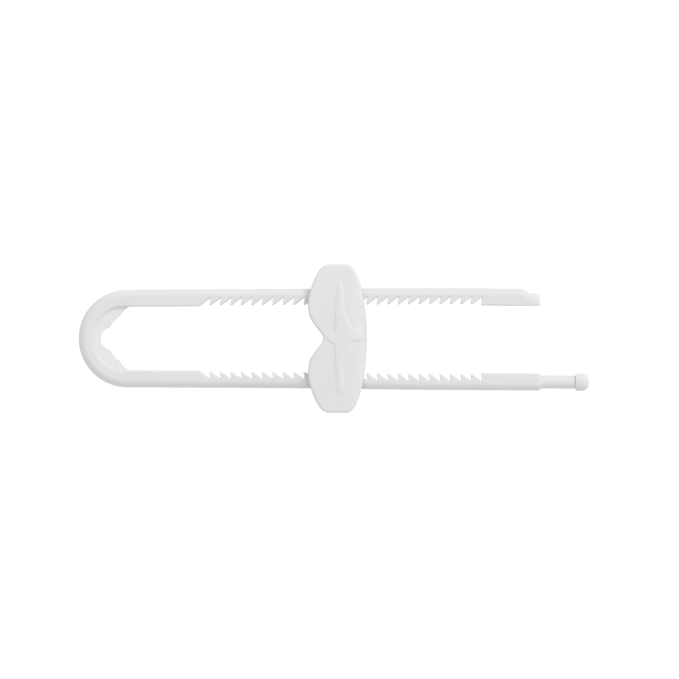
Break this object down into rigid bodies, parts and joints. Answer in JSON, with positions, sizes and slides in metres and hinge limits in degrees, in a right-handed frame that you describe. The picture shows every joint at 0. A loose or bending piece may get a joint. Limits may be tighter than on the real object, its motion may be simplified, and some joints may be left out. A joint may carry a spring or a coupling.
{
  "type": "cabinet safety lock",
  "caption": "Toothed U-bar that goes round a pair of cabinet handles, with a wing-shaped ratchet slider that is let go by squeezing the buttons at its ends.",
  "frame": {"origin": "middle of the part's box in X and Y, on the plane of the slider's back face", "axes": "+X along the arms towards the free ends, +Y towards the shorter arm, +Z out of the slider's front"},
  "size_m": [0.175, 0.051, 0.013],
  "materials": {
    "bar_plastic": "satin moulded polypropylene, white",
    "slider_plastic": "fine satin grain, white",
    "button_plastic": "satin, white",
    "spring_steel": "bright drawn wire"
  },
  "bodies": {
    "u_bar": {"u_bar": "bar_plastic"},
    "slider": {"back_housing": "slider_plastic", "front_cover": "slider_plastic", "upper_spring": "spring_steel", "lower_spring": "spring_steel"},
    "upper_button": {"upper_button": "button_plastic"},
    "lower_button": {"lower_button": "button_plastic"}
  },
  "joints": [
    {"name": "slider_slide", "type": "slide", "parent": "u_bar", "child": "slider", "axis": [1, 0, 0], "range_m": [-0.04308, 0.04308]},
    {"name": "upper_button_press", "type": "slide", "parent": "slider", "child": "upper_button", "axis": [0, -1, 0], "range_m": [0, 0.0024], "stiffness_N_per_m": 400, "springref_m": -0.0025, "deforming": ["upper_spring"]},
    {"name": "lower_button_press", "type": "slide", "parent": "slider", "child": "lower_button", "axis": [0, 1, 0], "range_m": [0, 0.0024], "stiffness_N_per_m": 400, "springref_m": -0.0025, "deforming": ["lower_spring"]}
  ]
}
